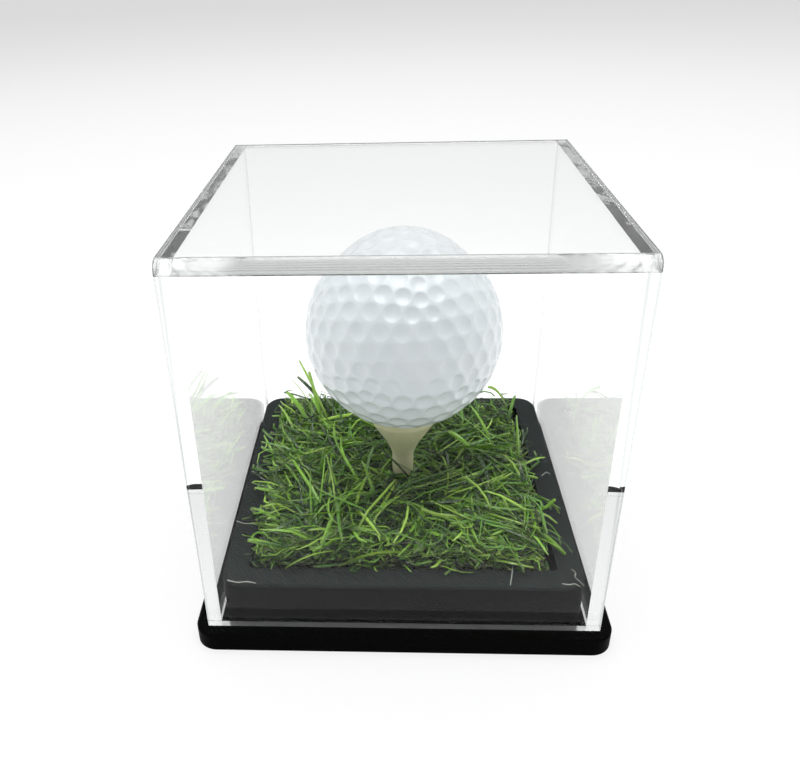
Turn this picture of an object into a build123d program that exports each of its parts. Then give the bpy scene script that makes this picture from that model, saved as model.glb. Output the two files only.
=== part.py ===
from build123d import *

import os
from itertools import combinations
from math import sqrt

# Golf ball display case: a clear cube cover over a printed base that holds a
# square of artificial turf, a golf tee and a ball. Millimetres, +Z up, -Y is
# the front. The origin is the centre of the base's underside.

# Base: a flange that the cover stands on, and a plinth that centres the cover
FLANGE_MARGIN = 2.7
FLANGE_THICKNESS = 4.0
FLANGE_CORNER_RADIUS = 4.5
PLINTH_HEIGHT = 9.6
PLINTH_CORNER_RADIUS = 4.5
EDGE_BREAK = 0.4
POCKET_WIDTH = 63.8
POCKET_DEPTH = 5.0
POCKET_CORNER_RADIUS = 0.8
SOCKET_DEPTH = 6.6
SOCKET_LEAD_IN = 0.5

# Clear cover: five sheets cemented at their edges
COVER_WIDTH = 80.0
COVER_HEIGHT = 80.0
SHEET_THICKNESS = 2.5
TOP_EDGE_RADIUS = 2.0
CEMENT_FILM = 0.05
COVER_SEAT_GAP = 0.05
COVER_CLEARANCE = 0.4

# Artificial turf: woven backing, curled thatch yarn and a taller pile
TURF_EDGE_GAP = 0.8
BACKING_THICKNESS = 1.5
THATCH_HEIGHT = 3.2
PILE_HEIGHT = 5.0
PILE_EDGE_RADIUS = 2.0
TURF_HOLE_CLEARANCE = 0.6

# Tee: stands in the base a little to the right of the middle
TEE_OFFSET_X = 0.6
TEE_STEM_RADIUS = 2.5
TEE_SOCKET_CLEARANCE = 0.05
TEE_FOOT_CLEARANCE = 0.1
TEE_FOOT_CHAMFER = 0.5
TEE_SEAT_HEIGHT = 17.6
TEE_FLARE_HEIGHT = 10.4
TEE_CUP_RADIUS = 7.8
TEE_FLARE_FOOT_SLOPE = (0.25, 1)
TEE_FLARE_TOP_SLOPE = (0.45, 1)
TEE_LIP_HEIGHT = 1.3
TEE_RIM_WIDTH = 0.35

# Ball: its dimples lie on a geodesic net that divides an icosahedron's edges
BALL_RADIUS = 21.35
BALL_SEAT_GAP = 0.25
DIMPLE_NET_FREQUENCY = 6
DIMPLE_DEPTH = 0.35
BALL_TILT = 17.0
BALL_TURN = 11.0
NET_TOLERANCE = 0.01
NET_KEY_DIGITS = 6

# Levels and widths that follow from the sizes above
RIM_LEVEL = FLANGE_THICKNESS + PLINTH_HEIGHT
POCKET_FLOOR = RIM_LEVEL - POCKET_DEPTH
FLANGE_WIDTH = COVER_WIDTH + 2 * FLANGE_MARGIN
COVER_INNER_WIDTH = COVER_WIDTH - 2 * SHEET_THICKNESS
PLINTH_WIDTH = COVER_INNER_WIDTH - 2 * COVER_CLEARANCE
COVER_BOTTOM = FLANGE_THICKNESS + COVER_SEAT_GAP
COVER_TOP = COVER_BOTTOM + COVER_HEIGHT
WALL_HEIGHT = COVER_HEIGHT - SHEET_THICKNESS - CEMENT_FILM
SIDE_WALL_LENGTH = COVER_INNER_WIDTH - 2 * CEMENT_FILM
TURF_WIDTH = POCKET_WIDTH - 2 * TURF_EDGE_GAP
TURF_HOLE_RADIUS = TEE_STEM_RADIUS + TURF_HOLE_CLEARANCE
THATCH_LEVEL = POCKET_FLOOR + BACKING_THICKNESS
PILE_LEVEL = THATCH_LEVEL + THATCH_HEIGHT
SOCKET_FLOOR = POCKET_FLOOR - SOCKET_DEPTH
TEE_SEAT_LEVEL = RIM_LEVEL + TEE_SEAT_HEIGHT
BALL_CENTRE_LEVEL = TEE_SEAT_LEVEL + BALL_SEAT_GAP + BALL_RADIUS

FROM_BELOW = (Align.CENTER, Align.CENTER, Align.MIN)


def rounded_block(width, height, corner_radius, level):
    """A square block with rounded upright edges that stands at a level."""
    outline = RectangleRounded(width, width, corner_radius)
    return Pos(0, 0, level) * extrude(outline, amount=height)


def make_base():
    flange = rounded_block(FLANGE_WIDTH, FLANGE_THICKNESS, FLANGE_CORNER_RADIUS, 0)
    flange = chamfer(flange.faces().sort_by(Axis.Z)[-1].edges(), EDGE_BREAK)
    plinth = rounded_block(PLINTH_WIDTH, PLINTH_HEIGHT, PLINTH_CORNER_RADIUS, FLANGE_THICKNESS)
    plinth = chamfer(plinth.faces().sort_by(Axis.Z)[-1].edges(), EDGE_BREAK)
    pocket = rounded_block(POCKET_WIDTH, POCKET_DEPTH, POCKET_CORNER_RADIUS, POCKET_FLOOR)
    socket_radius = TEE_STEM_RADIUS + TEE_SOCKET_CLEARANCE
    socket = Pos(TEE_OFFSET_X, 0, SOCKET_FLOOR) * Cylinder(socket_radius, SOCKET_DEPTH, align=FROM_BELOW)
    lead_in = Pos(TEE_OFFSET_X, 0, POCKET_FLOOR - SOCKET_LEAD_IN) * Cone(
        socket_radius, socket_radius + SOCKET_LEAD_IN, SOCKET_LEAD_IN, align=FROM_BELOW
    )
    return flange + plinth - pocket - socket - lead_in


def turf_layer(width, height, level):
    """A square layer of the turf with the hole that the tee passes through."""
    layer = Pos(0, 0, level) * Box(width, width, height, align=FROM_BELOW)
    hole = Pos(TEE_OFFSET_X, 0, level) * Cylinder(TURF_HOLE_RADIUS, height, align=FROM_BELOW)
    return layer, hole


def make_turf_backing():
    layer, hole = turf_layer(TURF_WIDTH, BACKING_THICKNESS, POCKET_FLOOR)
    return layer - hole


def make_turf_thatch():
    layer, hole = turf_layer(TURF_WIDTH, THATCH_HEIGHT, THATCH_LEVEL)
    return layer - hole


def make_turf_pile():
    layer, hole = turf_layer(TURF_WIDTH, PILE_HEIGHT, PILE_LEVEL)
    upper_edges = layer.faces().sort_by(Axis.Z)[-1].edges()
    upright_edges = layer.edges().filter_by(Axis.Z)
    return fillet(upper_edges + upright_edges, PILE_EDGE_RADIUS) - hole


def make_tee():
    """A turned tee: plain stem, bell-shaped flare, short lip and a dished seat."""
    foot = SOCKET_FLOOR + TEE_FOOT_CLEARANCE
    dish_radius = BALL_RADIUS + BALL_SEAT_GAP
    dish_mouth = TEE_CUP_RADIUS - TEE_RIM_WIDTH
    rim = BALL_CENTRE_LEVEL - sqrt(dish_radius**2 - dish_mouth**2)
    flare_top = rim - TEE_LIP_HEIGHT
    flare_bottom = flare_top - TEE_FLARE_HEIGHT
    stem_start = (TEE_STEM_RADIUS - TEE_FOOT_CHAMFER, foot)
    stem_side = (TEE_STEM_RADIUS, foot + TEE_FOOT_CHAMFER)
    flare_start = (TEE_STEM_RADIUS, flare_bottom)
    flare_end = (TEE_CUP_RADIUS, flare_top)
    with BuildSketch(Plane.XZ) as section:
        with BuildLine():
            Line((0, foot), stem_start)
            Line(stem_start, stem_side)
            Line(stem_side, flare_start)
            Spline(flare_start, flare_end, tangents=(TEE_FLARE_FOOT_SLOPE, TEE_FLARE_TOP_SLOPE))
            Line(flare_end, (TEE_CUP_RADIUS, rim))
            Line((TEE_CUP_RADIUS, rim), (dish_mouth, rim))
            RadiusArc((dish_mouth, rim), (0, TEE_SEAT_LEVEL), dish_radius)
            Line((0, TEE_SEAT_LEVEL), (0, foot))
        make_face()
    return Pos(TEE_OFFSET_X, 0, 0) * revolve(section.sketch, Axis.Z)


def icosahedron():
    """The twenty faces of a regular icosahedron, each as its three corners."""
    golden = (1 + sqrt(5)) / 2
    corners = []
    for one in (-1, 1):
        for phi in (-golden, golden):
            corners += [Vector(0, one, phi), Vector(one, phi, 0), Vector(phi, 0, one)]
    edge = min((p - q).length for p, q in combinations(corners, 2))
    faces = []
    for trio in combinations(corners, 3):
        longest = max((p - q).length for p, q in combinations(trio, 2))
        if longest < edge * (1 + NET_TOLERANCE):
            faces.append(trio)
    return faces


def net_point(trio, i, j, frequency):
    """The direction of one node of the net that divides a face's three sides."""
    a, b, c = trio
    point = a * (frequency - i - j) + b * i + c * j
    return point.normalized()


def net_triangles(frequency):
    """The small triangles of the geodesic net: dimple centres at their corners."""
    triangles = []
    for trio in icosahedron():
        for i in range(frequency):
            for j in range(frequency - i):
                near = net_point(trio, i + 1, j, frequency)
                far = net_point(trio, i, j + 1, frequency)
                triangles.append((net_point(trio, i, j, frequency), near, far))
                if i + j < frequency - 1:
                    triangles.append((net_point(trio, i + 1, j + 1, frequency), near, far))
    return triangles


def make_ball():
    """Each dimple is a shallow pyramid; the ridges between them lie on the ball's sphere."""
    ridges = {}
    for triangle in net_triangles(DIMPLE_NET_FREQUENCY):
        middle = sum(triangle, Vector()).normalized() * BALL_RADIUS
        for p, q in combinations(triangle, 2):
            key = frozenset(tuple(round(value, NET_KEY_DIGITS) for value in point) for point in (p, q))
            ridges.setdefault(key, (p, q, []))[2].append(middle)
    facets = []
    for p, q, (one, other) in ridges.values():
        for centre in (p, q):
            bottom = centre * (BALL_RADIUS - DIMPLE_DEPTH)
            facets.append(Face(Wire.make_polygon([bottom, one, other], close=True)))
    ball = Solid(Shell(facets))
    turned = Rot(0, 0, BALL_TURN) * Rot(BALL_TILT, 0, 0) * ball
    return Pos(TEE_OFFSET_X, 0, BALL_CENTRE_LEVEL) * turned


def make_cover_top():
    sheet = Pos(0, 0, COVER_TOP - SHEET_THICKNESS) * Box(
        COVER_WIDTH, COVER_WIDTH, SHEET_THICKNESS, align=FROM_BELOW
    )
    return fillet(sheet.faces().sort_by(Axis.Z)[-1].edges(), TOP_EDGE_RADIUS)


def make_end_wall(side):
    """The front (side -1) or back (side 1) sheet, as wide as the cover."""
    offset = side * (COVER_WIDTH - SHEET_THICKNESS) / 2
    return Pos(0, offset, COVER_BOTTOM) * Box(
        COVER_WIDTH, SHEET_THICKNESS, WALL_HEIGHT, align=FROM_BELOW
    )


def make_side_wall(side):
    """The left (side -1) or right (side 1) sheet, between the front and back ones."""
    offset = side * (COVER_WIDTH - SHEET_THICKNESS) / 2
    return Pos(offset, 0, COVER_BOTTOM) * Box(
        SHEET_THICKNESS, SIDE_WALL_LENGTH, WALL_HEIGHT, align=FROM_BELOW
    )


NODES = {
    "base": make_base(),
    "turf_backing": make_turf_backing(),
    "turf_thatch": make_turf_thatch(),
    "turf_pile": make_turf_pile(),
    "tee": make_tee(),
    "golf_ball": make_ball(),
    "cover_top_panel": make_cover_top(),
    "cover_front_panel": make_end_wall(-1),
    "cover_back_panel": make_end_wall(1),
    "cover_left_panel": make_side_wall(-1),
    "cover_right_panel": make_side_wall(1),
}

os.makedirs("parts", exist_ok=True)
for name, shape in NODES.items():
    export_step(shape, f"parts/{name}.step")
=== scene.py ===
import math

import bpy
import numpy as np
from mathutils import Matrix, Vector


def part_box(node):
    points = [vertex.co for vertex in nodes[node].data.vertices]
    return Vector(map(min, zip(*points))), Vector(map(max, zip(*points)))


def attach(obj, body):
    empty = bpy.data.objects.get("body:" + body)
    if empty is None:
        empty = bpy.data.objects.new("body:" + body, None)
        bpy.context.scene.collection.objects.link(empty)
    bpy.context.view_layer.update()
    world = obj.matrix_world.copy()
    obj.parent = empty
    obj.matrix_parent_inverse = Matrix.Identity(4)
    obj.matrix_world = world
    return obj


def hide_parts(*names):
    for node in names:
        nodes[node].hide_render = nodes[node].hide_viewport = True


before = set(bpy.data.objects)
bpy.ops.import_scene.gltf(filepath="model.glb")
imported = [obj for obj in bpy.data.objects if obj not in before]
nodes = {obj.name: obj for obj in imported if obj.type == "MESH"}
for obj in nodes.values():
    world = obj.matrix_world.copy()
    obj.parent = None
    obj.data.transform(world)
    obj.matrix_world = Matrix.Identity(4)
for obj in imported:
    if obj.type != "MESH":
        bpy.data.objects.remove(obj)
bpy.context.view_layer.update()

MM = 0.001

# The photograph's frame, and the camera that was solved from it
IMAGE_WIDTH, IMAGE_HEIGHT = 800, 772
FOCAL_PX = 795.5
PRINCIPAL_POINT = (352.6, 374.6)
CAMERA_AT = Vector((-1.71, -157.1, 129.0)) * MM
CAMERA_YAW, CAMERA_PITCH, CAMERA_ROLL = (math.radians(a) for a in (-3.333, 29.157, -1.735))
SENSOR = 36.0

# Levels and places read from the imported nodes
RIM_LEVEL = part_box("base")[1].z
YARN_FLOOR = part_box("turf_backing")[1].z + 0.1 * MM
tee_low, tee_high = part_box("tee")
TEE_AXIS = (tee_low.x + tee_high.x) / 2
ball_low, ball_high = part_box("golf_ball")
BALL_CENTRE = np.array((ball_low + ball_high) / 2)
top_low, top_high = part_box("cover_top_panel")


# ---------------------------------------------------------------- materials

class Shader:
    """The node tree of a material or the world, with short calls to add and join nodes."""

    def __init__(self, owner, output="Material"):
        self.owner = owner
        owner.use_nodes = True
        self.tree = owner.node_tree
        self.tree.nodes.clear()
        self.output = self.node("Output" + output)

    def put(self, socket, value):
        if isinstance(value, bpy.types.NodeSocket):
            self.tree.links.new(value, socket)
        elif value is not None:
            socket.default_value = value

    def node(self, kind, inputs=None, **settings):
        made = self.tree.nodes.new("ShaderNode" + kind)
        for key, value in settings.items():
            setattr(made, key, value)
        for key, value in (inputs or {}).items():
            self.put(made.inputs[key], value)
        return made

    def math(self, operation, a, b=None, c=None):
        made = self.node("Math", operation=operation)
        for socket, value in zip(made.inputs, (a, b, c)):
            self.put(socket, value)
        return made.outputs[0]

    def product(self, first, *others):
        for other in others:
            first = self.math("MULTIPLY", first, other)
        return first

    def wave(self, value, pitch):
        """Regular ridges along a length, from -1 to 1."""
        return self.math("SINE", self.math("MULTIPLY", value, 2 * math.pi / pitch))

    def on_line(self, value, line):
        """1 where a length lies on a line, which is given as its middle and half its width."""
        return self.math("COMPARE", value, *line)

    def position(self, scale=(1, 1, 1), turn=(0, 0, 0)):
        """The place on the piece in metres, scaled and turned."""
        coordinates = self.node("TexCoord").outputs["Object"]
        mapping = self.node("Mapping", {"Vector": coordinates, "Scale": scale, "Rotation": turn})
        return mapping.outputs[0]

    def parts(self, vector):
        """The X, Y and Z of a vector."""
        return self.node("SeparateXYZ", {0: vector}).outputs

    def facing(self):
        """The X, Y and Z of the direction that the surface faces."""
        return self.parts(self.node("NewGeometry").outputs["Normal"])

    def noise(self, vector, scale, detail=2.0, roughness=0.5):
        inputs = {"Vector": vector, "Scale": scale, "Detail": detail, "Roughness": roughness}
        return self.node("TexNoise", inputs).outputs["Fac"]

    def ramp(self, value, *stops):
        """A colour ramp: stops are (position, colour or grey)."""
        made = self.node("ValToRGB", {"Fac": value})
        elements = made.color_ramp.elements
        while len(elements) < len(stops):
            elements.new(0.5)
        for element, (place, colour) in zip(elements, stops):
            element.position = place
            grey = isinstance(colour, (int, float))
            element.color = (colour, colour, colour, 1) if grey else (*colour, 1)
        return made.outputs["Color"]

    def span(self, value, low, high, out_low, out_high):
        """A value mapped from one range to another and held there."""
        inputs = {"Value": value, 1: low, 2: high, 3: out_low, 4: out_high}
        return self.node("MapRange", inputs).outputs[0]

    def blend(self, factor, a, b, way="MIX"):
        """Two colours or values, mixed or multiplied."""
        made = self.node("Mix", data_type="RGBA", blend_type=way)
        for socket, value in zip((made.inputs[0], made.inputs[6], made.inputs[7]), (factor, a, b)):
            self.put(socket, value)
        return made.outputs[2]

    def bump(self, height, distance, strength=1.0):
        inputs = {"Height": height, "Distance": distance, "Strength": strength}
        return self.node("Bump", inputs).outputs[0]

    def principled(self, **sockets):
        made = self.node("BsdfPrincipled")
        for key, value in sockets.items():
            self.put(made.inputs[key.replace("_", " ")], value)
        return made.outputs[0]

    def transparent(self, colour=(1, 1, 1, 1)):
        return self.node("BsdfTransparent", {"Color": colour}).outputs[0]

    def layer(self, factor, below, above):
        """One shader laid over another where the factor is 1."""
        return self.node("MixShader", {0: factor, 1: below, 2: above}).outputs[0]

    def dust_and_glints(self, place, size, rare):
        """1 on rare small specks."""
        spots = self.node("TexVoronoi", {"Vector": place, "Scale": size}).outputs["Distance"]
        few = self.math("GREATER_THAN", self.noise(place, size * 0.4, 1.0), rare)
        return self.product(self.math("LESS_THAN", spots, 0.1), few)

    def seen(self):
        """1 for rays that the camera, a mirror or glass sends, and 0 for diffuse light."""
        path = self.node("LightPath").outputs
        through = self.math("MAXIMUM", path["Is Glossy Ray"], path["Is Transmission Ray"])
        return self.math("MAXIMUM", path["Is Camera Ray"], through)

    def finish(self, surface):
        self.put(self.output.inputs["Surface"], surface)
        return self.owner


LAYER_PITCH = 0.4 * MM
TOP_LINE_PITCH = 0.8 * MM
TOP_LINE_WOBBLE = 0.3 * MM
PRINT_RELIEF = 0.11 * MM


def printed_plastic():
    """Black printed plastic: layer lines on upright faces, slanted lines, dusty specks on the rim.
    Upward faces are painted lighter than upright ones, and the rim top much lighter, as painted
    light from above.
    """
    s = Shader(bpy.data.materials.new("printed_plastic"))
    place = s.position()
    axis, normal = s.parts(place), s.facing()
    flat = s.span(s.math("ABSOLUTE", normal[2]), 0.6, 0.8, 0.0, 1.0)
    rim = s.product(flat, s.math("GREATER_THAN", axis[2], RIM_LEVEL - 1.0 * MM))
    wobble = s.product(s.noise(place, 60.0), TOP_LINE_WOBBLE)
    across = s.math("ADD", s.math("ADD", axis[0], axis[1]), wobble)
    top_line = s.wave(across, TOP_LINE_PITCH)
    layer_line = s.wave(axis[2], LAYER_PITCH)
    lines = s.blend(flat, s.product(layer_line, 0.25), top_line)
    grain = s.noise(place, 2600.0, 3.0)
    height = s.math("MULTIPLY_ADD", grain, s.span(flat, 0.0, 1.0, 0.15, 0.7), lines)
    mottle = s.noise(place, 700.0, 4.0, 0.7)
    # Painted light: upright faces darkest, upward faces lighter and the rim top much lighter, as
    # light from above
    side = s.ramp(mottle, (0.3, (0.0008, 0.0009, 0.0009)), (0.75, (0.0018, 0.002, 0.002)))
    rim_painted_light = s.ramp(mottle, (0.3, (0.021, 0.026, 0.0255)), (0.75, (0.034, 0.041, 0.040)))
    colour = s.blend(rim, s.blend(flat, side, (0.0034, 0.0038, 0.0034, 1)), rim_painted_light)
    specks = s.product(s.dust_and_glints(place, 420.0, 0.62), rim)
    surface = s.principled(
        Base_Color=s.blend(specks, colour, (0.5, 0.52, 0.5, 1)),
        Roughness=s.span(grain, 0.3, 0.7, 0.36, 0.55),
        Normal=s.bump(height, PRINT_RELIEF, s.span(flat, 0.0, 1.0, 0.15, 0.7)),
        Specular_IOR_Level=0.01,
    )
    return s.finish(surface)


# Where the acrylic changes: levels, distances from the middle, and lines as middle and half width
WALL_TOP = top_low.z - 0.02 * MM
JOINT_LEVEL = (top_low.z - 0.15 * MM, top_low.z + 0.1 * MM)
JOINT_INSIDE = top_high.x - 2.56 * MM
SAWN_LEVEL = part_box("cover_front_panel")[0].z + 0.1 * MM
SHEET_MIDDLE = (top_low.z + top_high.z) / 2
CORNER_LINE = top_high.x - 0.35 * MM
SIDE_EDGE = top_high.x - 0.2 * MM
CEMENT_EDGE = top_high.x - 0.45 * MM
CEMENT_BREAK = -22.6 * MM
CEMENT_GAP = (CEMENT_BREAK, 0.45 * MM)
BACK_BEND = (top_high.y - 1.85 * MM, 0.35 * MM)
FRONT_BEND = (1.85 * MM - top_high.y, 0.15 * MM)
SEAM = (top_low.z + 0.07 * MM, 0.065 * MM)

# Its tints and how rough it is there. Apart from the clear tint, the tints are painted shade: the
# film's a little, and the corners', rounded edges', square edges' and lines' more.
CLEAR, FILM_AND_SHADE = (0.985, 0.992, 0.99, 1), (0.9, 0.92, 0.9, 1)
CORNER_SHADE, ROUNDED_SHADE = (0.64, 0.66, 0.66, 1), (0.86, 0.885, 0.87, 1)
CUT_SQUARE_SHADE = (0.145, 0.155, 0.155, 1)
FRONT_SHADE_LINE, BACK_SHADE_LINE = (0.5, 0.51, 0.51, 1), (0.08, 0.085, 0.085, 1)
LAMP_TINT = (0.96, 0.965, 0.965, 1)
FACING_MIRROR = (0.04, 0.04, 0.04, 1)
FROST = (0.98, 0.985, 0.985, 1)
FROST_SHARE = 0.11
FILM_ROUGHNESS, ROUNDED_ROUGHNESS = 0.5, 0.2
SAWN_ROUGHNESS = (0.08, 0.12)


def cement_mask(s, place, across, axis):
    """How much cement shows in the side joints.

    Bubbles break it up. It is fullest in front of the break and thins towards the back, and on the
    left a gap lies at the break.
    """
    bubbles = s.noise(s.position((1.0, 0.45, 1.0), (0, 0, 0.6)), 420.0, 3.0, 0.6)
    limit = s.span(s.noise(place, 60.0, 1.0), 0.4, 0.6, 0.48, 0.6)
    limit = s.math("ADD", limit, s.span(axis[1], CEMENT_BREAK, JOINT_INSIDE, 0.04, -0.09))
    limit = s.math("MULTIPLY_ADD", s.math("LESS_THAN", axis[1], CEMENT_BREAK), 0.1, limit)
    gap = s.product(s.on_line(axis[1], CEMENT_GAP), s.math("LESS_THAN", axis[0], 0.0))
    return s.product(
        s.math("GREATER_THAN", across, JOINT_INSIDE),
        s.math("LESS_THAN", across, CEMENT_EDGE),
        s.math("SUBTRACT", 1.0, gap),
        s.span(s.math("SUBTRACT", limit, bubbles), -0.1, 0.07, 0.35, 1.0),
    )


def clear_acrylic():
    """Clear acrylic that lets lamps through, with what shows where the sheets end or meet.

    Cement with bubbles joins the top sheet to the side walls, and a dull film, tinted a little
    darker as painted shade, lies on all the walls' upper edges. The walls' lower edges are sawn,
    and frosted at the front and back.
    The corners are tinted darker as painted shade. The top sheet has dull rounded edges at the
    front and back, tinted darker as painted shade, square ones at the sides tinted dark as painted
    shade, and thin dark lines of painted shade at its bends and round its lower edge.
    """
    s = Shader(bpy.data.materials.new("clear_acrylic"))
    place = s.position()
    axis, normal = s.parts(place), s.facing()
    slope = s.math("ABSOLUTE", normal[2])
    level = s.math("GREATER_THAN", slope, 0.9)
    across, along = (s.math("ABSOLUTE", axis[k]) for k in (0, 1))
    joint = s.product(
        level,
        s.math("GREATER_THAN", s.math("MAXIMUM", across, along), JOINT_INSIDE),
        s.math("GREATER_THAN", axis[2], JOINT_LEVEL[0]),
        s.math("LESS_THAN", axis[2], JOINT_LEVEL[1]),
    )
    cement = s.product(joint, cement_mask(s, place, across, axis))
    film = s.product(joint, s.math("LESS_THAN", axis[2], WALL_TOP))
    sawn = s.product(level, s.math("LESS_THAN", axis[2], SAWN_LEVEL))
    frosted = s.product(sawn, s.math("GREATER_THAN", along, JOINT_INSIDE), FROST_SHARE)
    upper = s.math("GREATER_THAN", axis[2], WALL_TOP)
    rounded = s.product(s.math("LESS_THAN", slope, 0.97), upper)
    corner = s.math("GREATER_THAN", s.math("MINIMUM", across, along), CORNER_LINE)
    side_edge = s.product(upper, s.math("GREATER_THAN", across, SIDE_EDGE))

    # Painted shade: the film is tinted a little darker, and the corners, rounded edges and square
    # side edges darker still
    colour = s.blend(film, CLEAR, FILM_AND_SHADE)
    for mask, tint in ((corner, CORNER_SHADE), (rounded, ROUNDED_SHADE), (side_edge, CUT_SQUARE_SHADE)):
        colour = s.blend(mask, colour, tint)
    dull = s.math("MAXIMUM", s.product(film, FILM_ROUGHNESS), s.product(rounded, ROUNDED_ROUGHNESS))
    sawn = s.product(sawn, s.span(along, JOINT_INSIDE - 0.01 * MM, JOINT_INSIDE, *SAWN_ROUGHNESS))
    surface = s.principled(
        Base_Color=colour,
        Roughness=s.math("MAXIMUM", dull, sawn),
        IOR=1.49,
        Transmission_Weight=1.0,
        Specular_Tint=FACING_MIRROR,
    )
    path = s.node("LightPath").outputs
    lamp_side = s.math("MAXIMUM", path["Is Shadow Ray"], path["Is Diffuse Ray"])
    sheet = s.layer(lamp_side, surface, s.transparent(LAMP_TINT))
    frost = s.node("BsdfDiffuse", {"Color": FROST}).outputs[0]
    sheet = s.layer(frosted, sheet, frost)
    sheet = s.layer(cement, sheet, s.transparent())

    # Painted shade: thin dark lines at the top sheet's bends and round its lower edge
    behind = s.on_line(axis[1], BACK_BEND)
    bend = s.math("MAXIMUM", behind, s.on_line(axis[1], FRONT_BEND))
    bend = s.product(bend, s.math("GREATER_THAN", axis[2], SHEET_MIDDLE))
    lines = s.math("MAXIMUM", bend, s.on_line(axis[2], SEAM))
    dark = s.transparent(s.blend(behind, FRONT_SHADE_LINE, BACK_SHADE_LINE))
    return s.finish(s.layer(lines, sheet, dark))


TURNING_PITCH = 0.9 * MM
TAPE_PITCH = 1.6 * MM


def tee_plastic():
    """Cream moulded plastic with a faint mottle and turning lines."""
    s = Shader(bpy.data.materials.new("tee_plastic"))
    place = s.position()
    mottle = s.noise(place, 260.0, 3.0)
    rings = s.wave(s.parts(place)[2], TURNING_PITCH)
    height = s.math("ADD", s.product(rings, 0.15), s.noise(place, 900.0))
    surface = s.principled(
        Base_Color=s.ramp(mottle, (0.3, (0.63, 0.61, 0.37)), (0.75, (0.71, 0.69, 0.46))),
        Roughness=s.span(s.noise(place, 500.0), 0.3, 0.7, 0.3, 0.42),
        Normal=s.bump(height, 0.04 * MM, 0.4),
        Subsurface_Weight=0.15,
        Subsurface_Radius=(0.002, 0.0016, 0.001),
        Subsurface_Scale=1.0,
    )
    return s.finish(surface)


def ball_cover():
    """White ball cover under a clear coat, with faint scuffs."""
    s = Shader(bpy.data.materials.new("ball_cover"))
    place = s.position()
    mottle = s.noise(place, 120.0, 3.0)
    surface = s.principled(
        Base_Color=s.ramp(mottle, (0.3, (0.83, 0.88, 0.915)), (0.7, (0.86, 0.905, 0.935))),
        Roughness=s.span(s.noise(place, 700.0, 4.0), 0.3, 0.7, 0.32, 0.5),
        Normal=s.bump(s.noise(place, 1500.0, 3.0), 0.02 * MM, 0.3),
        Coat_Weight=1.0,
        Coat_Roughness=0.05,
    )
    return s.finish(surface)


def yarn(name, roughness, grain):
    """Plastic yarn whose colour comes from the strand, with fine streaks."""
    s = Shader(bpy.data.materials.new(name))
    place = s.position()
    tint = s.node("Attribute", attribute_name="yarn_colour").outputs["Color"]
    streak = s.ramp(s.noise(place, grain, 3.0, 0.6), (0.25, 0.72), (0.8, 1.12))
    surface = s.principled(
        Base_Color=s.blend(1.0, tint, streak, "MULTIPLY"),
        Roughness=s.span(s.noise(place, 1200.0), 0.3, 0.7, roughness - 0.08, roughness + 0.12),
        Normal=s.bump(s.noise(place, 2200.0), 0.03 * MM, 0.4),
        Specular_IOR_Level=0.6,
    )
    return s.finish(surface)


def woven_backing():
    """Black woven backing with the ridges of its tapes, and light specks that are painted glints.
    """
    s = Shader(bpy.data.materials.new("woven_backing"))
    place = s.position()
    axis = s.parts(place)
    weave = s.product(s.wave(axis[0], TAPE_PITCH), s.wave(axis[1], TAPE_PITCH))
    mottle = s.noise(place, 900.0, 3.0)
    colour = s.ramp(mottle, (0.35, (0.004, 0.005, 0.004)), (0.8, (0.02, 0.025, 0.02)))
    # The light specks are painted glints
    surface = s.principled(
        Base_Color=s.blend(s.dust_and_glints(place, 900.0, 0.5), colour, (0.6, 0.62, 0.6, 1)),
        Roughness=s.span(weave, -1.0, 1.0, 0.35, 0.7),
        Normal=s.bump(weave, 0.2 * MM, 0.8),
    )
    return s.finish(surface)


ROUND_ANGLE = math.radians(25)


def shade_smooth(mesh):
    mesh.polygons.foreach_set("use_smooth", np.ones(len(mesh.polygons), bool))


def dress(node_name, material):
    """Gives a carried-over CAD node its material and shades its rounded edges smoothly."""
    mesh = nodes[node_name].data
    shade_smooth(mesh)
    mesh.set_sharp_from_angle(angle=ROUND_ANGLE)
    slots = mesh.materials
    if len(slots):
        for i in range(len(slots)):
            slots[i] = material
    else:
        slots.append(material)


# ------------------------------------------------------------------ meshes

def make_piece(name, vertices, faces, material, body):
    """A smooth-shaded mesh piece in the row frame, riding on a body."""
    mesh = bpy.data.meshes.new(name)
    mesh.from_pydata(vertices.tolist(), [], faces.tolist())
    shade_smooth(mesh)
    mesh.materials.append(material)
    mesh.update()
    piece = bpy.data.objects.new(name, mesh)
    bpy.context.scene.collection.objects.link(piece)
    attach(piece, body)
    return piece


def icosahedron():
    """Corner directions and the twenty faces of a regular icosahedron."""
    golden = (1 + math.sqrt(5)) / 2
    corners = []
    for one in (-1, 1):
        for phi in (-golden, golden):
            corners += [(0, one, phi), (one, phi, 0), (phi, 0, one)]
    corners = np.array(corners, float)
    gap = np.linalg.norm(corners[:, None] - corners[None], axis=2)
    edge = gap[gap > 0.1].min() * 1.01
    count = len(corners)
    faces = [
        (i, j, k)
        for i in range(count) for j in range(i + 1, count) for k in range(j + 1, count)
        if max(gap[i, j], gap[j, k], gap[i, k]) < edge
    ]
    return corners, faces


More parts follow.
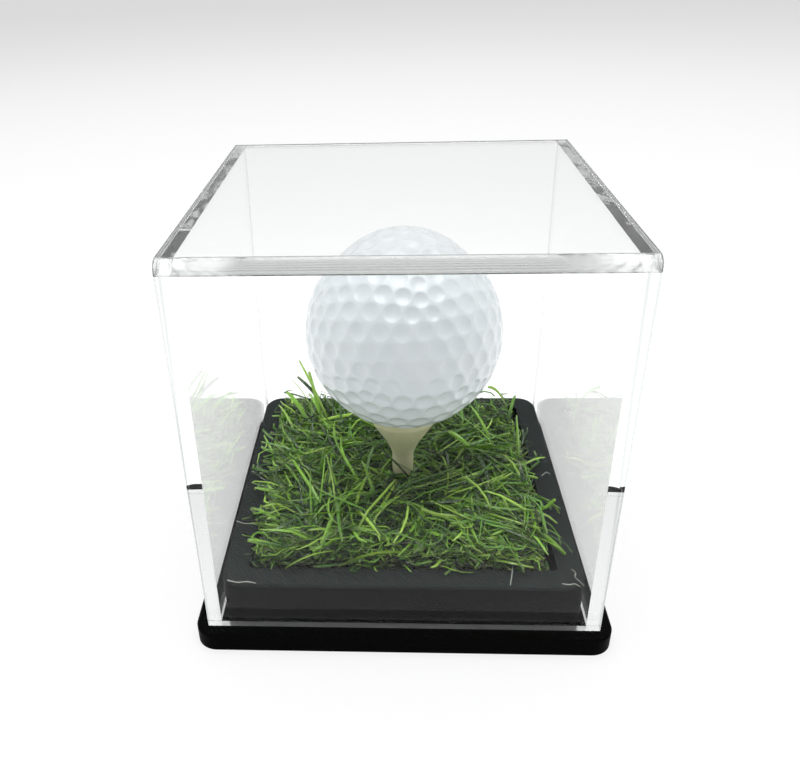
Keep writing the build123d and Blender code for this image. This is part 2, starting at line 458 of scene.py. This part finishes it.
def geodesic_net(frequency):
    """Unit vertices and outward triangles of an icosahedron's divided faces, put on the sphere."""
    corners, faces = icosahedron()
    points, triangles, seen = [], [], {}

    def index(point):
        key = tuple(np.round(point, 5))
        if key not in seen:
            seen[key] = len(points)
            points.append(point)
        return seen[key]

    for face in faces:
        a, b, c = corners[list(face)]
        grid = {}
        for i in range(frequency + 1):
            for j in range(frequency + 1 - i):
                point = a * (frequency - i - j) + b * i + c * j
                grid[i, j] = index(point / np.linalg.norm(point))
        outward = np.dot(np.cross(b - a, c - a), a) > 0
        for i in range(frequency):
            for j in range(frequency - i):
                trios = [(grid[i, j], grid[i + 1, j], grid[i, j + 1])]
                if i + j < frequency - 1:
                    trios.append((grid[i + 1, j], grid[i + 1, j + 1], grid[i, j + 1]))
                triangles += trios if outward else [t[::-1] for t in trios]
    return np.array(points), np.array(triangles)


def turn_matrix(tilt, turn):
    """The ball's turn on its tee: a tilt about X, then a turn about Z, in degrees."""
    tilted = Matrix.Rotation(math.radians(tilt), 3, "X")
    return np.array(Matrix.Rotation(math.radians(turn), 3, "Z") @ tilted)


def smooth(t):
    """An eased step from 0 to 1."""
    t = np.clip(t, 0.0, 1.0)
    return t * t * (3 - 2 * t)


# -------------------------------------------------------------------- ball

BALL_RADIUS = 21.35 * MM
BALL_TILT, BALL_TURN = 17.0, 11.0
DIMPLE_NET = 6
SURFACE_NET = 96
DIMPLE_DEPTH = (0.34 * MM, 0.52 * MM)
DIMPLE_FILL = (0.43, 0.475)
DIMPLE_EDGE = 0.15
NEIGHBOURS = 4
CHUNK = 8000  # points worked on at a time


def make_ball():
    """The dimpled ball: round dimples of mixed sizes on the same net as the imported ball's."""
    centres, _ = geodesic_net(DIMPLE_NET)
    gaps = np.arccos(np.clip(centres @ centres.T, -1, 1))
    np.fill_diagonal(gaps, np.inf)
    spacing = np.sort(gaps, axis=1)[:, :NEIGHBOURS].mean(axis=1)
    random = np.random.RandomState(3)
    depth = random.uniform(*DIMPLE_DEPTH, len(centres))
    fill = random.uniform(*DIMPLE_FILL, len(centres))
    points, triangles = geodesic_net(SURFACE_NET)
    radius = np.full(len(points), BALL_RADIUS)
    for begin in range(0, len(points), CHUNK):
        part = points[begin:begin + CHUNK]
        angle = np.arccos(np.clip(part @ centres.T, -1, 1))
        nearest = angle.argmin(axis=1)
        reach = spacing[nearest] * fill[nearest]
        t = angle[np.arange(len(part)), nearest] / reach
        bowl = 1 - np.clip(t, 0, 1) ** 2
        edge = smooth((1 - t) / DIMPLE_EDGE)
        radius[begin:begin + CHUNK] -= depth[nearest] * bowl * edge
    shell = points * radius[:, None] @ turn_matrix(BALL_TILT, BALL_TURN).T + BALL_CENTRE
    ball = make_piece("ball_shell", shell, triangles, ball_cover(), "ball")
    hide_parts("golf_ball")


# --------------------------------------------------------------- top sheet

EDGE_RADIUS = 2.0 * MM
EDGE_STEPS = 20


def make_top_sheet(material):
    """The cover's top sheet: front and back upper edges rounded, sides cut square."""
    angles = np.linspace(0, math.pi / 2, EDGE_STEPS + 1)
    out = top_high.y - EDGE_RADIUS * (1 - np.sin(angles))
    level = top_high.z - EDGE_RADIUS * (1 - np.cos(angles))
    back = [*zip(out, level), (top_high.y, top_low.z)]
    front = [(-y, z) for y, z in reversed(back)]
    profile = np.array(back + front)
    count = len(profile)
    ends = [np.column_stack([np.full(count, x), profile]) for x in (top_low.x, top_high.x)]
    vertices = np.concatenate(ends)
    faces = []
    for k in range(count):
        after = (k + 1) % count
        faces += [(k, count + after, after), (k, count + k, count + after)]
    for k in range(1, count - 1):
        faces += [(0, k, k + 1), (count, count + k + 1, count + k)]
    sheet = make_piece("top_sheet", vertices, np.array(faces), material, "cover")
    sheet.data.set_sharp_from_angle(angle=ROUND_ANGLE)
    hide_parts("cover_top_panel")


# -------------------------------------------------------------------- turf

POCKET_HALF = 31.5 * MM
EDGE_GAPS = ((-0.4, 2.4), (0.6, 4.6), (-0.4, 1.9), (-0.4, 1.6))  # left, right, front, back; mm
OVER_RIM = (1.7, 0.7, 1.1, 1.6)  # how readily strands lie over the rim on those sides
OVER_REACH = (0.5, 4.4)  # how far they then go, in mm

# Roots lie near the crossings of a fine grid, and strands lean alike in the cells of a wider one
ROOT_MARGIN = 1.2 * MM
ROOT_GAUGE = 2.6 * MM
ROOT_SHAKE = 0.3 * MM
TUFT_GAUGE = 5.2  # in mm
SLANT = math.radians(140)

# Trimming, and the room that strands leave to what stands in their way
REACH_SHARE = 0.82
SHORTEST = 3.2 * MM
CAP_EASE = 3 * MM
STOPPED = 0.05 * MM
BLADE_TURN, CURL_TURN = 0.6, 2.2
WALL_NEAR, WALL_GAP = 0.3 * MM, 0.35 * MM
RIM_GAP, RIM_REACH = 0.25 * MM, 1.2 * MM
TEE_ROOM, TEE_NEAR = 2.95 * MM, 7 * MM
BALL_GAP = 0.4 * MM
HIGHEST, LOWER_AT_TEE = 22.0, 7.5  # in mm


class Strands:
    """Many thin strands that are grown step by step and kept clear of rim, tee, ball and cover."""

    def __init__(self, seed, count, over_rim):
        self.random = np.random.RandomState(seed)
        self.count = count
        self.half_width = None
        limits = []
        for gap, readiness in zip(EDGE_GAPS, OVER_RIM):
            inside = POCKET_HALF - self.random.uniform(*gap, count) * MM
            over = POCKET_HALF + self.random.uniform(*OVER_REACH, count) * MM
            limits.append(np.where(self.random.rand(count) < over_rim * readiness, over, inside))
        left, right, front, back = limits
        self.low = -np.stack([left, front], axis=1)
        self.high = np.stack([right, back], axis=1)
        self.bend = self.random.choice((-1.0, 1.0), count)

    def roots(self):
        """Where strands leave the backing, on rows of shaken tufts."""
        half = POCKET_HALF - ROOT_MARGIN
        spots = self.random.uniform(-half, half, (self.count, 2))
        tufts = np.round(spots / ROOT_GAUGE) * ROOT_GAUGE
        shake = self.random.normal(0, ROOT_SHAKE, (self.count, 2))
        spots = tufts + (spots - tufts) * 0.75 + shake
        return np.clip(spots, np.maximum(self.low, -half), np.minimum(self.high, half))

    def headings(self, spots, spread):
        """Directions alike in each tuft: most along one slant, some free, edges outwards."""
        x, y = spots[:, 0] / MM, spots[:, 1] / MM
        column = np.round((x + 1.2 * np.sin(y / 3)) / TUFT_GAUGE)
        cell = column * 37.0 + np.round(y / TUFT_GAUGE) * 91.0
        tuft = (np.sin(cell * 12.9898) * 43758.5453) % 1.0  # a number from 0 to 1 for each tuft
        edge = np.maximum(np.abs(x), np.abs(y)) / (POCKET_HALF / MM)
        wave = 0.35 * np.sin(x / 8.0 + 1.3) + 0.3 * np.cos(y / 10.0 - x / 21.0)
        slant = SLANT + np.where(0.7 * y - x + 18 * (tuft - 0.5) > 0, 0.0, math.pi) + wave
        free = 2 * math.pi * tuft * 2.7
        lean = np.arctan2(y + 3, x) + wave
        leaning = (tuft * 7.3) % 1.0 < 0.75 * edge**3
        heading = np.where(leaning, lean, np.where(tuft < 0.3, free, slant))
        return heading + self.random.normal(0, spread, self.count)

    def trim(self, spots, azimuth, lengths):
        """Lengths that end each strand by its own limit, as shears trim it."""
        ahead = np.stack([np.cos(azimuth), np.sin(azimuth)], axis=1)
        gap = np.where(ahead > 0, self.high - spots, spots - self.low)
        room = (gap / np.maximum(np.abs(ahead), 1e-3)).min(axis=1) / REACH_SHARE
        return np.clip(np.minimum(lengths, room), SHORTEST, None)

    def grow(self, start, azimuth, rise, settle, length, cap, swirl, steps):
        """The centre lines: they leave at one slope, settle to another and stay under cap."""
        at = start.copy()
        line = [at.copy()]
        step = length / steps
        heading = azimuth.copy()
        for k in range(steps):
            s = (k + 0.5) / steps
            slope = settle + (rise - settle) * (1 - s) ** 1.6
            room = np.clip((cap - at[:, 2]) / CAP_EASE, -0.4, 1.0)
            slope = np.where(slope > 0, slope * np.clip(room, -0.2, 1.0), slope)
            heading = heading + swirl / steps
            at = at + step[:, None] * direction(heading, slope)
            held = self.keep_clear(at)
            heading = heading + np.where(self.stopped(at, held), BLADE_TURN * self.bend, 0.0)
            at = held
            line.append(at.copy())
        return np.stack(line, axis=1)

    def stopped(self, wanted, held):
        """Strands that ran into something and have to turn."""
        return np.abs(wanted[:, :2] - held[:, :2]).max(axis=1) > STOPPED

    def keep_clear(self, at):
        """Points moved off the pocket's walls, the rim, the tee and the ball, and under the lid."""
        at = at.copy()
        thick = self.half_width
        outside = np.maximum(np.abs(at[:, 0]), np.abs(at[:, 1])) > POCKET_HALF - WALL_NEAR
        held = outside & (at[:, 2] < RIM_LEVEL + thick + RIM_GAP)
        near_rim = held & (at[:, 2] > RIM_LEVEL - RIM_REACH)
        at[near_rim, 2] = RIM_LEVEL + thick[near_rim] + RIM_GAP
        inside = held & ~near_rim
        limit = (POCKET_HALF - WALL_GAP - thick)[inside, None]
        at[inside, :2] = np.clip(at[inside, :2], -limit, limit)
        at[:, :2] = np.clip(at[:, :2], self.low + thick[:, None], self.high - thick[:, None])
        tee = np.array([TEE_AXIS, 0.0])
        at[:, :2] = push_out(at[:, :2], tee, TEE_ROOM + thick)
        at = push_out(at, BALL_CENTRE, BALL_RADIUS + thick + BALL_GAP)
        near_tee = np.exp(-((np.linalg.norm(at[:, :2] - tee, axis=1) / TEE_NEAR) ** 2))
        at[:, 2] = np.minimum(at[:, 2], (HIGHEST - LOWER_AT_TEE * near_tee) * MM)
        at[:, 2] = np.maximum(at[:, 2], YARN_FLOOR)
        return at


def direction(heading, slope):
    """Unit steps along compass headings and slopes."""
    level = np.cos(slope)
    return np.stack([np.cos(heading) * level, np.sin(heading) * level, np.sin(slope)], axis=1)


def push_out(at, centre, radius):
    """Points nearer to the centre than the radius, moved out to it."""
    off = at - centre
    distance = np.linalg.norm(off, axis=1)
    pushed = off / np.maximum(distance, 1e-6)[:, None] * radius[:, None] + centre
    return np.where((distance < radius)[:, None], pushed, at)


def ribbons(line, half_width, roll, twist, ridge, taper):
    """Closed strands with a three-sided section swept along the centre lines."""
    count, rings, _ = line.shape
    along = np.gradient(line, axis=1)
    along /= np.maximum(np.linalg.norm(along, axis=2, keepdims=True), 1e-9)
    up = np.array([0.0, 0.0, 1.0])
    side = np.cross(along, up)
    weak = np.linalg.norm(side, axis=2, keepdims=True)
    side = np.where(weak > 1e-3, side / np.maximum(weak, 1e-9), np.array([1.0, 0.0, 0.0]))
    out = np.cross(side, along)
    s = np.linspace(0, 1, rings)[None, :, None]
    turn = roll[:, None, None] + twist[:, None, None] * s
    side, out = side * np.cos(turn) + out * np.sin(turn), out * np.cos(turn) - side * np.sin(turn)
    width = half_width[:, None, None] * (1 - taper * smooth((s - 0.75) / 0.25))
    corners = [line - side * width, line + out * width * ridge, line + side * width]
    vertices = np.stack(corners, axis=2).reshape(-1, 3)
    first = (np.arange(count) * rings * 3)[:, None]
    faces = []
    for r in range(rings - 1):
        for a, b in ((0, 1), (1, 2), (2, 0)):
            low, high = r * 3, r * 3 + 3
            faces.append(first + np.array([[low + a, low + b, high + b]]))
            faces.append(first + np.array([[low + a, high + b, high + a]]))
    end = (rings - 1) * 3
    faces.append(first + np.array([[2, 1, 0]]))
    faces.append(first + np.array([[end, end + 1, end + 2]]))
    return vertices, np.concatenate(faces)


def paint(piece, colours):
    """Writes colours, by strand and ring, to the vertices and sharpens the strands' ridges."""
    edges = np.empty(len(piece.data.edges) * 2, np.int32)
    piece.data.edges.foreach_get("vertices", edges)
    lengthwise = np.abs(np.diff(edges.reshape(-1, 2), axis=1)).ravel() == 3
    sharp = piece.data.attributes.new("sharp_edge", "BOOLEAN", "EDGE")
    sharp.data.foreach_set("value", lengthwise)
    layer = piece.data.attributes.new("yarn_colour", "FLOAT_COLOR", "POINT")
    spread = np.repeat(colours.reshape(-1, 3), 3, axis=0)
    full = np.concatenate([spread, np.ones((len(spread), 1))], axis=1)
    layer.data.foreach_set("color", full.astype(np.float32).ravel())


def pick_tones(random, palette, count, shade):
    """A colour of the palette for each strand, made darker or lighter."""
    colours = np.array(palette)
    return colours[random.randint(0, len(colours), count)] * random.uniform(*shade, (count, 1))


BLADE_STEPS = 6
BLADE_RIDGE, BLADE_TAPER, BLADE_GRAIN = 0.42, 0.3, 500.0
CURL_STEPS = 7
CURL_RIDGE, CURL_TAPER, CURL_GRAIN, CURL_ROUGHNESS = 0.8, 0.2, 700.0, 0.42
CUT_END = (0.40, 0.54, 0.16)
LOOSE_WIDTH = 0.2 * MM
LOOSE_TONE = (0.5, 0.53, 0.45)


def blades(name, seed, count, width, length, lid, slopes, palette, roughness, over_rim, placed=()):
    """Flat green blades that rise from the backing, bend over and lie on each other.

    Widths, lengths and the lid's levels are in mm; the slopes are in degrees, first at the root and
    then where the blade settles.
    """
    strands = Strands(seed, count, over_rim)
    random = strands.random
    spots = strands.roots()
    start = np.column_stack([spots, np.full(count, YARN_FLOOR)])
    azimuth = strands.headings(spots, 0.36)
    wanted = random.uniform(*length, count) * MM
    lengths = strands.trim(spots, azimuth, wanted)
    rise = np.radians(random.uniform(*slopes[0], count))
    settle = np.radians(random.uniform(*slopes[1], count))
    settle = settle + (1 - np.clip(lengths / wanted, 0, 1)) * math.radians(35)
    strands.half_width = random.uniform(*width, count) * MM / 2
    shoulder = smooth((np.abs(spots).max(axis=1) / POCKET_HALF - 0.8) / 0.2)
    beside_tee = np.exp(-((np.linalg.norm(spots, axis=1) / (9 * MM)) ** 2))
    cap = (random.uniform(*lid, count) - 1.3 * shoulder - 4.5 * beside_tee) * MM
    swirl = random.normal(0, 0.8, count)
    line = strands.grow(start, azimuth, rise, settle, lengths, cap, swirl, BLADE_STEPS)
    half_width = strands.half_width
    tone = pick_tones(random, palette, count, (0.7, 1.25))
    if placed:
        line = np.concatenate([line, [bowed(*blade[:3]) for blade in placed]])
        half_width = np.concatenate([half_width, [blade[3] * MM / 2 for blade in placed]])
        tone = np.concatenate([tone, [palette[blade[4]] for blade in placed]])
    roll, twist = (random.normal(0, 0.6, len(line)) for _ in range(2))
    vertices, faces = ribbons(line, half_width, roll, twist, BLADE_RIDGE, BLADE_TAPER)
    material = yarn(name + "_yarn", roughness, BLADE_GRAIN)
    piece = make_piece(name, vertices, faces, material, "base")
    s = np.linspace(0, 1, BLADE_STEPS + 1)[None, :, None]
    # Painted shade: each blade is darkened towards its root, to a quarter of its tone there, as
    # shade deep in the turf
    colours = tone[:, None, :] * (0.25 + 0.8 * smooth(s / 0.6))
    cut = (s > 0.99) * 0.4
    paint(piece, colours * (1 - cut) + np.array(CUT_END) * cut)
    return piece


def bowed(root, tip, bow):
    """The centre line of a placed blade: an arc from root to tip, in mm, bowed upwards."""
    root, tip = np.array(root, float), np.array(tip, float)
    s = np.linspace(0, 1, BLADE_STEPS + 1)[:, None]
    return (root + (tip - root) * s + np.array([0, 0, bow]) * 4 * s * (1 - s)) * MM


def curls(name, seed, count, width, stride, levels, palette, over_rim, loose=()):
    """Thin curled fibres between and over the blades; widths, strides and levels are in mm."""
    strands = Strands(seed, count, over_rim)
    random = strands.random
    spots = strands.roots()
    at = np.column_stack([spots, random.uniform(*levels, count) * MM])
    strands.half_width = random.uniform(*width, count) * MM / 2
    heading = random.uniform(-math.pi, math.pi, count)
    curl = random.normal(0, 0.6, count)
    climb = random.uniform(-0.2, 0.7, count)
    stride = random.uniform(*stride, count)[:, None] * MM
    line = [at.copy()]
    for k in range(CURL_STEPS):
        heading = heading + curl + random.normal(0, 0.25, count)
        slope = climb * (1 - 1.4 * k / CURL_STEPS)
        at = at + stride * direction(heading, slope)
        held = strands.keep_clear(at)
        heading = heading + np.where(strands.stopped(at, held), CURL_TURN * strands.bend, 0.0)
        at = held
        line.append(at.copy())
    line = np.stack(line, axis=1)
    half_width = strands.half_width
    tone = pick_tones(random, palette, count, (0.6, 1.2))
    if loose:
        line = np.concatenate([line, [along(fibre) for fibre in loose]])
        half_width = np.concatenate([half_width, np.full(len(loose), LOOSE_WIDTH / 2)])
        tone = np.concatenate([tone, np.full((len(loose), 3), LOOSE_TONE)])
    roll, twist = (random.normal(0, spread, len(line)) for spread in (0.8, 1.0))
    vertices, faces = ribbons(line, half_width, roll, twist, CURL_RIDGE, CURL_TAPER)
    material = yarn(name + "_yarn", CURL_ROUGHNESS, CURL_GRAIN)
    piece = make_piece(name, vertices, faces, material, "base")
    paint(piece, np.repeat(tone[:, None, :], CURL_STEPS + 1, axis=1))
    return piece


def along(corners):
    """A loose fibre's centre line through its corners, in mm."""
    corners = np.array(corners, float)
    walk = np.concatenate([[0], np.cumsum(np.linalg.norm(np.diff(corners, axis=0), axis=1))])
    stops = np.linspace(0, walk[-1], CURL_STEPS + 1)
    return np.stack([np.interp(stops, walk, corners[:, k]) for k in range(3)], axis=1) * MM


BRIGHT = (
    (0.11, 0.29, 0.018), (0.24, 0.50, 0.035), (0.055, 0.16, 0.01),
    (0.37, 0.62, 0.075), (0.018, 0.06, 0.006),
)
# Greens of the under blades: dark yarn, painted near black as shade deep in the turf
DARK_SHADED = (
    (0.008, 0.03, 0.004), (0.018, 0.06, 0.007), (0.003, 0.010, 0.003),
    (0.04, 0.12, 0.012), (0.005, 0.013, 0.006),
)
MIDDLE = (
    (0.012, 0.05, 0.004), (0.07, 0.22, 0.012), (0.17, 0.40, 0.03),
    (0.006, 0.026, 0.003), (0.26, 0.48, 0.05),
)
PALE = ((0.05, 0.13, 0.022), (0.12, 0.20, 0.055), (0.02, 0.06, 0.01), (0.24, 0.29, 0.13))

# The blades that stand out in the photograph: root, tip, upward bow, width, shade of BRIGHT
LONG_BLADES = (
    ((-17, 16, 15), (-26, 25, 32), 1.0, 0.8, 3),
    ((-15, 19, 14), (-27, 27, 26), 1.5, 0.9, 4),
    ((-19, 14, 14), (-24, 28, 27), 1.0, 0.9, 1),
    ((-22, 17, 14), (-30, 26, 22), 1.5, 1.1, 1),
    ((-14, 21, 14), (-22, 29, 27), 1.5, 0.7, 0),
    ((-20, 19, 14), (-29, 29, 24), 2.0, 0.6, 3),
    ((-16, 24, 14), (-19, 30, 24), 1.0, 0.7, 4),
    ((-26, 14, 14), (-32, 24, 19), 1.5, 1.0, 3),
    ((-24, -33, 14.5), (-14, -30, 16.5), 1.0, 1.2, 3),
    ((-13, -33, 15), (2, -30, 16), 2.0, 1.1, 3),
    ((-12, -23, 17), (0, -28, 16), 1.5, 1.1, 1),
    ((-11, 0, 14), (-17, 3, 18), 1.0, 1.3, 1),
    ((-19, -5, 13), (-18, -2, 23), 0.5, 0.9, 0),
    ((-5, -12, 13), (-9, -4, 21), 1.0, 1.1, 1),
    ((-25, -12, 15), (-34, -8, 16), 1.0, 1.1, 1),
    ((-22, -26, 15), (-33, -20, 15.5), 1.5, 1.2, 3),
    ((-23, -30, 15), (-33, -25, 15), 1.0, 1.1, 1),
    ((24, -21, 13), (17, -24, 18), 1.0, 1.2, 1),
    ((27, -20, 14), (22, -8, 19), 1.0, 0.6, 3),
    ((29, 4, 13), (28, 8, 26), 0.5, 0.8, 1),
    ((28, 2, 14), (35, 4, 16.5), 1.0, 0.9, 3),
    ((27, -20, 15), (34, -28, 14.5), 1.0, 1.1, 1),
    ((13, -23, 14), (6, -14, 18), 1.0, 0.9, 1),
    ((24, 8, 14), (18, 17, 23), 1.5, 1.2, 1),
    ((20, 4, 14), (12, 10, 20), 1.5, 1.1, 1),
    ((29, 26, 16), (23, 25, 24), 2.0, 0.8, 3),
    ((28, 20, 15), (31, 29, 19), 1.5, 0.8, 0),
    ((3.6, -4.2, 14), (-4.4, -4.6, 24.5), 0.6, 0.5, 4),
    ((7.5, -6.5, 14.5), (-1.6, -4.4, 21), 1.0, 0.5, 4),
)

# Stray fibres on the rim, as corners in mm
LOOSE_FIBRES = (
    (
        (34.6, -31.8, 13.9), (35.4, -32.8, 14.1), (34.7, -34.0, 13.9),
        (35.6, -35.2, 13.9), (36.2, -36.5, 13.9),
    ),
    ((32.0, -35.8, 13.9), (33.4, -36.3, 14.0), (34.4, -35.7, 13.9), (35.4, -36.6, 13.9)),
    ((-35.6, -35.9, 13.9), (-33.4, -36.6, 13.9), (-31.6, -36.3, 14.0), (-29.6, -36.7, 13.9)),
    ((-36.4, -19.2, 15.4), (-34.6, -19.6, 15.0), (-33.0, -20.4, 15.8), (-31.0, -20.8, 15.4)),
    ((-36.0, 0.6, 14.6), (-34.4, -0.8, 14.2), (-32.6, 0.2, 15.2)),
    ((33.6, -0.4, 14.2), (35.0, 0.8, 14.6), (35.8, 0.4, 14.1)),
    ((22.6, -32.2, 14.6), (22.2, -34.2, 14.3), (21.6, -36.6, 14.0)),
)


# ----------------------------------------------------- floor, light, camera

# The floor's tones by distance from the case, where the camera and where mirrors or glass see it.
# They are painted shade: the floor darkens with distance, and what mirrors and glass see is darker
# still near the case in front.
FLOOR_HALF = 4.0
FLOOR_REACH = (0.1, 1.6)
FLOOR_FAR_SHADE = (
    (0.0, 1.0), (0.12, 1.0), (0.24, 0.96), (0.36, 0.915), (0.57, 0.83), (0.74, 0.79), (1.0, 0.76)
)
FLOOR_LEVELS = ((0.0, 1.0), (0.1, 0.88), (0.17, 0.8), (0.8, 0.55))
FLOOR_GREY, FLOOR_SEEN, FLOOR_GLOW, FLOOR_MIRRORED = 0.9, 0.25, 0.74, 0.92
FLOOR_FRONT_SHADE = 0.65  # of the mirrored floor near the case and in front of it

WORLD_SEEN = ((0.0, 0.66), (0.4, 0.68), (0.7, 0.95), (1.0, 1.0))
WORLD_HIGH, WORLD_LOW, WORLD_BEHIND, WORLD_SIDES = 0.25, 0.35, 0.45, 0.8


def make_floor():
    """A white table painted pale grey far behind the case as painted shade; what mirrors and glass
    see of it is painted darker with distance and near the case in front.
    """
    half = FLOOR_HALF
    corners = [(-half, -half, 0), (half, -half, 0), (half, half, 0), (-half, half, 0)]
    mesh = bpy.data.meshes.new("floor")
    mesh.from_pydata(corners, [], [(0, 1, 2, 3)])
    floor = bpy.data.objects.new("floor", mesh)
    bpy.context.scene.collection.objects.link(floor)
    s = Shader(bpy.data.materials.new("floor"))
    place = s.position()
    depth = s.parts(place)[1]
    reach = s.node("VectorMath", {0: place}, operation="LENGTH").outputs["Value"]
    far = s.span(reach, *FLOOR_REACH, 0.0, 1.0)
    # Painted shade: darker with distance, and darker near the case in front where mirrors and glass
    # see it
    fade = s.ramp(far, *FLOOR_FAR_SHADE)
    mirrored = s.ramp(far, *((stop, level * FLOOR_MIRRORED) for stop, level in FLOOR_LEVELS))
    behind = s.span(depth, -0.13, -0.07, FLOOR_FRONT_SHADE, 1.0)
    away = s.span(reach, 0.3, 0.5, FLOOR_FRONT_SHADE, 1.0)
    mirrored = s.product(mirrored, s.math("MAXIMUM", behind, away))
    grey = s.blend(s.seen(), (FLOOR_GREY,) * 3 + (1,), (FLOOR_SEEN,) * 3 + (1,))
    tint = s.blend(1.0, grey, fade, "MULTIPLY")
    diffuse = s.node("BsdfDiffuse", {"Color": tint}).outputs[0]
    from_camera = s.node("LightPath").outputs["Is Camera Ray"]
    glow = s.blend(from_camera, mirrored, s.product(fade, FLOOR_GLOW))
    shine = s.node("Emission", {"Strength": s.product(s.seen(), glow)}).outputs[0]
    s.finish(s.node("AddShader", {0: diffuse, 1: shine}).outputs[0])
    mesh.materials.append(s.owner)


def make_world():
    """Pale wherever it is seen or mirrored, and a soft light mostly from the sides and behind."""
    world = bpy.data.worlds.new("studio")
    bpy.context.scene.world = world
    s = Shader(world, "World")
    way = s.parts(s.node("TexCoord").outputs["Generated"])
    shown = s.ramp(way[2], *WORLD_SEEN)
    low = s.math("SUBTRACT", 1.0, s.math("MAXIMUM", way[2], 0.0))
    strength = s.math("MULTIPLY_ADD", low, WORLD_LOW, WORLD_HIGH)
    strength = s.math("MULTIPLY_ADD", way[1], WORLD_BEHIND, strength)
    strength = s.math("MULTIPLY_ADD", s.math("ABSOLUTE", way[0]), WORLD_SIDES, strength)
    light = s.node("Background", {"Color": (1, 1, 1, 1), "Strength": strength}).outputs[0]
    view = s.node("Background", {"Color": shown, "Strength": 1.0}).outputs[0]
    s.finish(s.layer(s.seen(), light, view))


def make_lamp(name, at, aim, size, radiance):
    """A square soft box that shines at a point."""
    light = bpy.data.lights.new(name, "AREA")
    light.shape = "SQUARE"
    light.size = size
    light.energy = radiance * math.pi * size * size
    lamp = bpy.data.objects.new(name, light)
    lamp.location = at
    lamp.rotation_mode = "QUATERNION"
    lamp.rotation_quaternion = (Vector(aim) - Vector(at)).to_track_quat("-Z", "Y")
    bpy.context.scene.collection.objects.link(lamp)


def make_camera():
    """The photograph's camera."""
    data = bpy.data.cameras.new("camera")
    data.sensor_fit = "HORIZONTAL"
    data.sensor_width = SENSOR
    data.lens = FOCAL_PX * SENSOR / IMAGE_WIDTH
    data.shift_x = (IMAGE_WIDTH / 2 - PRINCIPAL_POINT[0]) / IMAGE_WIDTH
    data.shift_y = (PRINCIPAL_POINT[1] - IMAGE_HEIGHT / 2) / IMAGE_WIDTH
    data.clip_start, data.clip_end = 0.01, 50.0
    yaw, pitch, roll = CAMERA_YAW, CAMERA_PITCH, CAMERA_ROLL
    level = math.cos(pitch)
    ahead = Vector((math.sin(yaw) * level, math.cos(yaw) * level, -math.sin(pitch)))
    right = Vector((math.cos(yaw), -math.sin(yaw), 0))
    up = right.cross(ahead)
    x_axis = right * math.cos(roll) + up * math.sin(roll)
    y_axis = up * math.cos(roll) - right * math.sin(roll)
    turn = Matrix((x_axis, y_axis, -ahead)).transposed()
    camera = bpy.data.objects.new("camera", data)
    camera.matrix_world = Matrix.Translation(CAMERA_AT) @ turn.to_4x4()
    bpy.context.scene.collection.objects.link(camera)
    bpy.context.scene.camera = camera


# ---------------------------------------------------------------- assembly

acrylic = clear_acrylic()
for panel in ("front", "back", "left", "right"):
    dress(f"cover_{panel}_panel", acrylic)
make_top_sheet(acrylic)
dress("base", printed_plastic())
dress("tee", tee_plastic())
dress("turf_backing", woven_backing())
make_ball()

blades(
    "turf_under_blades", seed=11, count=4700, width=(0.45, 0.9), length=(8, 15), lid=(13.0, 16.0),
    slopes=((40, 80), (-15, 20)), palette=DARK_SHADED, roughness=0.4, over_rim=0.02,
)
upper = blades(
    "turf_blades", seed=5, count=2900, width=(0.35, 0.85), length=(15, 28), lid=(14.5, 21.0),
    slopes=((48, 84), (-16, 16)), palette=BRIGHT, roughness=0.24, over_rim=0.09,
    placed=LONG_BLADES,
)
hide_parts("turf_pile")
curls(
    "turf_tangle", seed=41, count=2400, width=(0.2, 0.45), stride=(0.9, 1.9), levels=(11.5, 16.6),
    palette=MIDDLE, over_rim=0.04,
)
fibres = curls(
    "turf_curls", seed=23, count=3600, width=(0.12, 0.26), stride=(0.6, 1.25), levels=(11.0, 16.0),
    palette=PALE, over_rim=0.04, loose=LOOSE_FIBRES,
)
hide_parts("turf_thatch")

make_floor()
make_world()
make_lamp("overhead", (0.0, 0.06, 1.15), (0, 0, 0.05), 1.0, 2.4)
make_camera()

SHEET_BOUNCES = 64
scene = bpy.context.scene
scene.view_settings.view_transform = "Standard"
scene.cycles.max_bounces = SHEET_BOUNCES
scene.cycles.transmission_bounces = SHEET_BOUNCES
scene.cycles.glossy_bounces = SHEET_BOUNCES
scene.cycles.transparent_max_bounces = SHEET_BOUNCES
